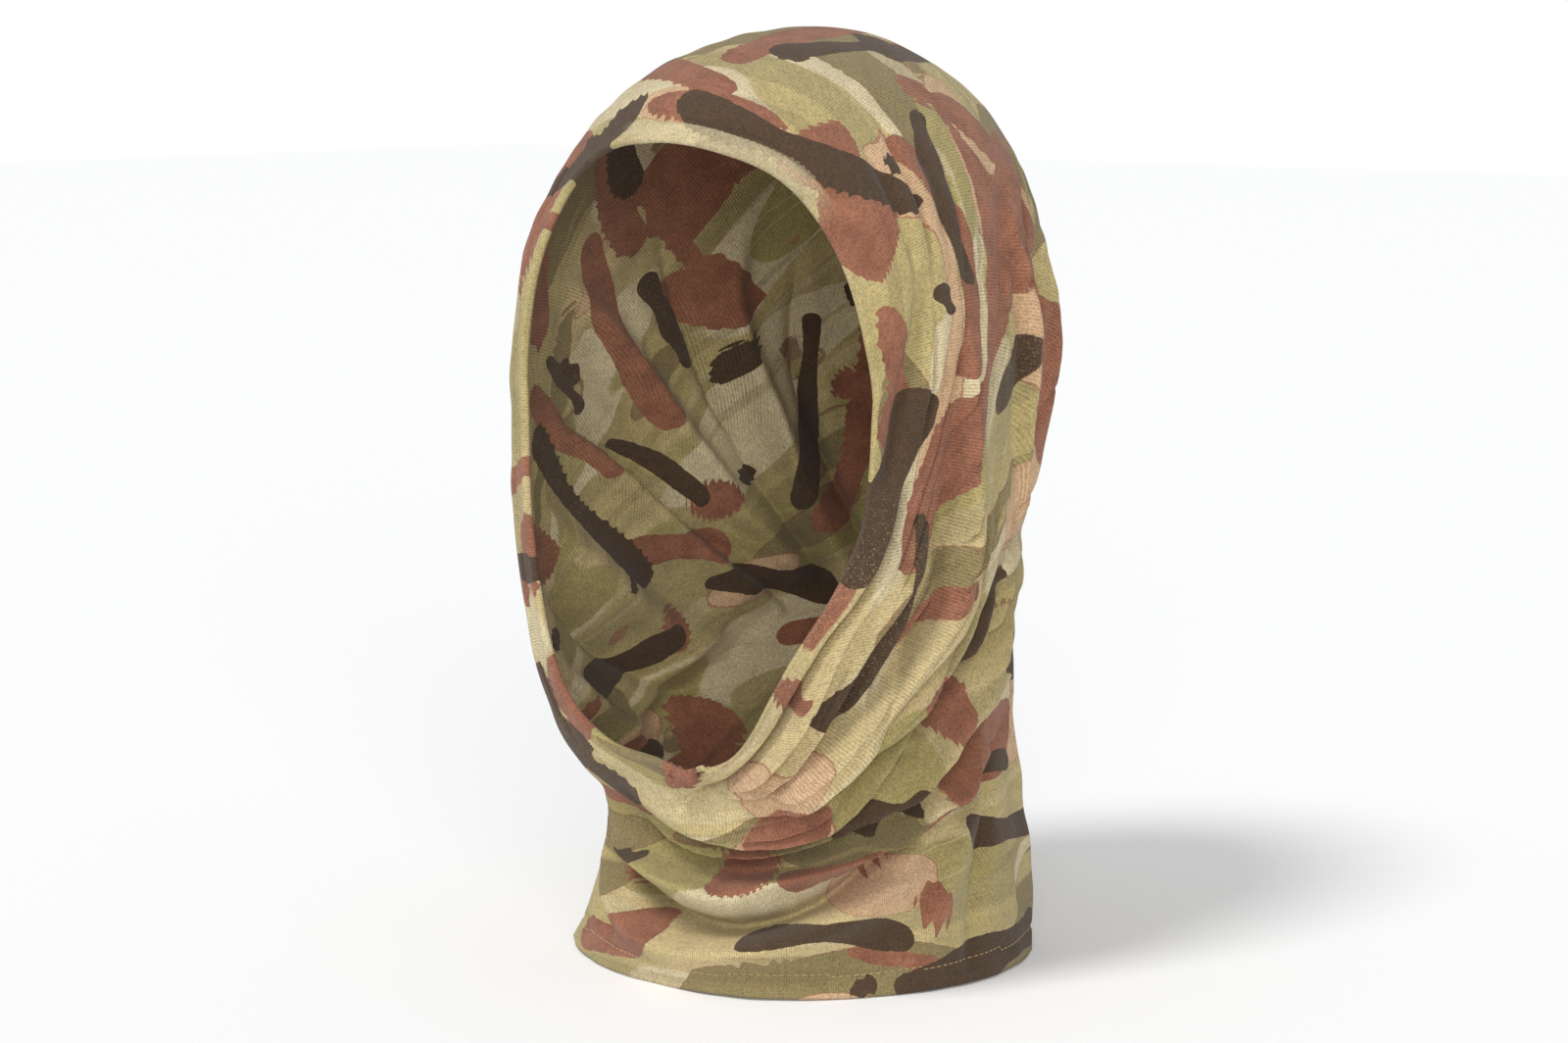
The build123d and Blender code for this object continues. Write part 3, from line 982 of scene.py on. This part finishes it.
def white_studio():
    """Even white light from all round. The camera sees it as plain white."""
    world = bpy.data.worlds.new("studio")
    bpy.context.scene.world = world
    world.use_nodes = True
    tree = world.node_tree
    seen = tree.nodes["Background"]
    seen.inputs["Color"].default_value = (1, 1, 1, 1)
    seen.inputs["Strength"].default_value = 1.0
    lighting = tree.nodes.new("ShaderNodeBackground")
    lighting.inputs["Color"].default_value = (0.97, 0.985, 1, 1)
    lighting.inputs["Strength"].default_value = AMBIENT
    either = tree.nodes.new("ShaderNodeMixShader")
    path = tree.nodes.new("ShaderNodeLightPath")
    tree.links.new(path.outputs["Is Camera Ray"], either.inputs[0])
    tree.links.new(lighting.outputs[0], either.inputs[1])
    tree.links.new(seen.outputs[0], either.inputs[2])
    tree.links.new(either.outputs[0], tree.nodes["World Output"].inputs["Surface"])


def towards(azimuth, elevation):
    """Unit vector from the mask towards an azimuth and elevation in degrees."""
    a, e = radians(azimuth), radians(elevation)
    return Vector((sin(a) * cos(e), -cos(a) * cos(e), sin(e)))


def soft_light(name, azimuth, elevation, spread, strength):
    """Light from a far, wide lamp: where from, how wide in degrees, and how strong."""
    light = bpy.data.objects.new(name, bpy.data.lights.new(name, "SUN"))
    bpy.context.scene.collection.objects.link(light)
    light.data.angle = radians(spread)
    light.data.energy = strength
    light.rotation_euler = (-towards(azimuth, elevation)).to_track_quat("-Z", "Y").to_euler()


def add_camera():
    """The camera, a little above the middle of the mask and to the wearer's left of its front."""
    right = Vector((cos(radians(AZIMUTH)), sin(radians(AZIMUTH)), 0))
    target = Vector((0, SHIFT[1] / 1000, AIM_HEIGHT)) - AIM_LEFT * right
    camera = bpy.data.objects.new("camera", bpy.data.cameras.new("camera"))
    bpy.context.scene.collection.objects.link(camera)
    camera.location = target + DISTANCE * towards(AZIMUTH, ELEVATION)
    camera.rotation_euler = (target - camera.location).to_track_quat("-Z", "Y").to_euler()
    camera.data.sensor_width = SENSOR_WIDTH
    camera.data.lens = LENS
    bpy.context.scene.camera = camera


smooth_cloth = make_cloth_grid()
folded_cloth = fold_cloth(smooth_cloth)
knitted_tube(smooth_cloth, folded_cloth)
hem_stitches(folded_cloth)
forehead_stitches(folded_cloth)
pale_floor()
white_studio()
for lamp, setting in LAMPS.items():
    soft_light(lamp, *setting)
add_camera()
bpy.context.scene.view_settings.view_transform = "Standard"
